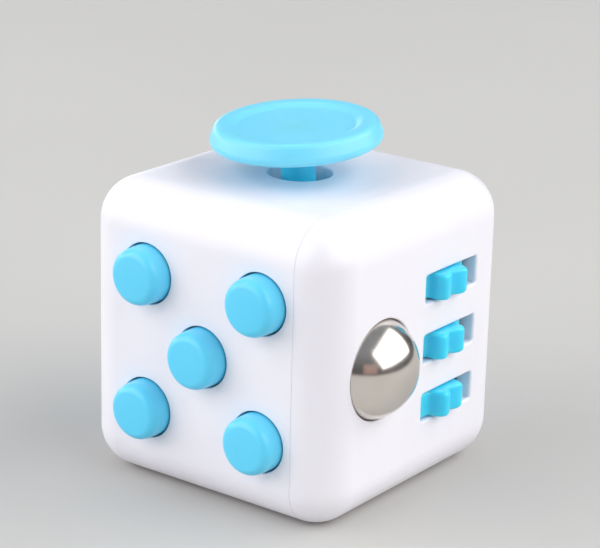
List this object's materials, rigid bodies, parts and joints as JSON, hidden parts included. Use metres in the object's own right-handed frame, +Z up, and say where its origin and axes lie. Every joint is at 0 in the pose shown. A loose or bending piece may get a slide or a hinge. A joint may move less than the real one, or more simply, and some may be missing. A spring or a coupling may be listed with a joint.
{
  "type": "fidget cube",
  "caption": "Pocket fidget cube with push buttons, a tilting thumb stick, a captive rolling ball, click wheels, a rocker switch, a detent dial and a thumb dish.",
  "frame": {"origin": "centre of the cube's bottom face", "axes": "+Z up through the thumb stick, -Y out of the button face, +X out of the ball and wheel face"},
  "size_m": [0.0394, 0.0378, 0.0394],
  "materials": {
    "white_shell": "fine satin moulded ABS",
    "cyan_plastic": "satin moulded plastic",
    "natural_plastic": "natural acetal",
    "silicone": "translucent matte silicone",
    "polished_ball": "polished bearing steel",
    "spring_steel": "bright spring steel",
    "zinc_screw": "zinc plated"
  },
  "bodies": {
    "housing": {"main_shell": "white_shell", "roll_cover": "white_shell", "button_pad": "silicone", "snap_dome_upper_left": "spring_steel", "snap_dome_centre": "spring_steel", "snap_dome_lower_right": "spring_steel", "button_backplate": "natural_plastic", "joystick_cup": "natural_plastic", "joystick_spring": "spring_steel", "ball_spring": "spring_steel", "wheel_axle": "spring_steel", "wheel_click_spring": "spring_steel", "roll_frame": "natural_plastic", "rocker_pin": "spring_steel", "rocker_frame": "natural_plastic", "rocker_click_spring": "spring_steel", "dial_click_spring": "spring_steel", "button_screw_1": "zinc_screw", "button_screw_2": "zinc_screw", "button_screw_3": "zinc_screw", "joystick_screw_1": "zinc_screw", "joystick_screw_2": "zinc_screw", "roll_screw_1": "zinc_screw", "roll_screw_2": "zinc_screw", "roll_screw_3": "zinc_screw", "roll_screw_4": "zinc_screw", "rocker_screw_1": "zinc_screw", "rocker_screw_2": "zinc_screw", "dial_spring_screw_1": "zinc_screw", "dial_spring_screw_2": "zinc_screw"},
    "button_upper_left": {"button_upper_left": "cyan_plastic"},
    "button_upper_right": {"button_upper_right": "cyan_plastic"},
    "button_centre": {"button_centre": "cyan_plastic"},
    "button_lower_left": {"button_lower_left": "cyan_plastic"},
    "button_lower_right": {"button_lower_right": "cyan_plastic"},
    "stick_saddle": {"joystick_saddle": "natural_plastic"},
    "stick": {"joystick_stem": "cyan_plastic", "joystick_cap": "cyan_plastic"},
    "ball_seat": {"ball_seat": "natural_plastic"},
    "ball": {"ball": "polished_ball"},
    "wheel_upper": {"wheel_upper": "cyan_plastic"},
    "wheel_middle": {"wheel_middle": "cyan_plastic"},
    "wheel_lower": {"wheel_lower": "cyan_plastic"},
    "rocker": {"rocker": "cyan_plastic"},
    "dial": {"dial": "cyan_plastic", "dial_click_wheel": "natural_plastic", "dial_screw": "zinc_screw"}
  },
  "joints": [
    {"name": "button_upper_left_press", "type": "slide", "parent": "housing", "child": "button_upper_left", "axis": [0, 1, 0], "range_m": [0, 0.0012], "stiffness_N_per_m": 800, "deforming": ["button_pad", "snap_dome_upper_left"]},
    {"name": "button_upper_right_press", "type": "slide", "parent": "housing", "child": "button_upper_right", "axis": [0, 1, 0], "range_m": [0, 0.0012], "stiffness_N_per_m": 800, "deforming": ["button_pad"]},
    {"name": "button_centre_press", "type": "slide", "parent": "housing", "child": "button_centre", "axis": [0, 1, 0], "range_m": [0, 0.0012], "stiffness_N_per_m": 800, "deforming": ["button_pad", "snap_dome_centre"]},
    {"name": "button_lower_left_press", "type": "slide", "parent": "housing", "child": "button_lower_left", "axis": [0, 1, 0], "range_m": [0, 0.0012], "stiffness_N_per_m": 800, "deforming": ["button_pad"]},
    {"name": "button_lower_right_press", "type": "slide", "parent": "housing", "child": "button_lower_right", "axis": [0, 1, 0], "range_m": [0, 0.0012], "stiffness_N_per_m": 800, "deforming": ["button_pad", "snap_dome_lower_right"]},
    {"name": "stick_tilt_x", "type": "hinge", "parent": "housing", "child": "stick_saddle", "pos_m": [0, 0, 0.0295], "axis": [1, 0, 0], "range_deg": [-15.7, 7.3], "deforming": ["joystick_spring"]},
    {"name": "stick_tilt_y", "type": "hinge", "parent": "stick_saddle", "child": "stick", "pos_m": [0, 0, 0.0295], "axis": [0, 1, 0], "range_deg": [-9.9, 13.1], "deforming": ["joystick_spring"]},
    {"name": "ball_click", "type": "slide", "parent": "housing", "child": "ball_seat", "axis": [-1, 0, 0], "range_m": [0, 0.001], "stiffness_N_per_m": 1500, "deforming": ["ball_spring"]},
    {"name": "ball_roll", "type": "hinge", "parent": "ball_seat", "child": "ball", "pos_m": [0.01442, -0.0073, 0.0165], "axis": [0, 0, 1], "continuous": true},
    {"name": "wheel_upper_turn", "type": "hinge", "parent": "housing", "child": "wheel_upper", "pos_m": [0.0134, 0.00445, 0.02315], "axis": [0, 0, 1], "continuous": true, "deforming": ["wheel_click_spring"]},
    {"name": "wheel_middle_turn", "type": "hinge", "parent": "housing", "child": "wheel_middle", "pos_m": [0.0134, 0.00445, 0.0165], "axis": [0, 0, 1], "continuous": true, "deforming": ["wheel_click_spring"]},
    {"name": "wheel_lower_turn", "type": "hinge", "parent": "housing", "child": "wheel_lower", "pos_m": [0.0134, 0.00445, 0.00985], "axis": [0, 0, 1], "continuous": true, "deforming": ["wheel_click_spring"]},
    {"name": "rocker_flip", "type": "hinge", "parent": "housing", "child": "rocker", "pos_m": [0, 0.0134, 0.0165], "axis": [1, 0, 0], "range_deg": [0, 24], "deforming": ["rocker_click_spring"]},
    {"name": "dial_turn", "type": "hinge", "parent": "housing", "child": "dial", "pos_m": [-0.016, 0, 0.0165], "axis": [-1, 0, 0], "continuous": true, "deforming": ["dial_click_spring"]}
  ]
}
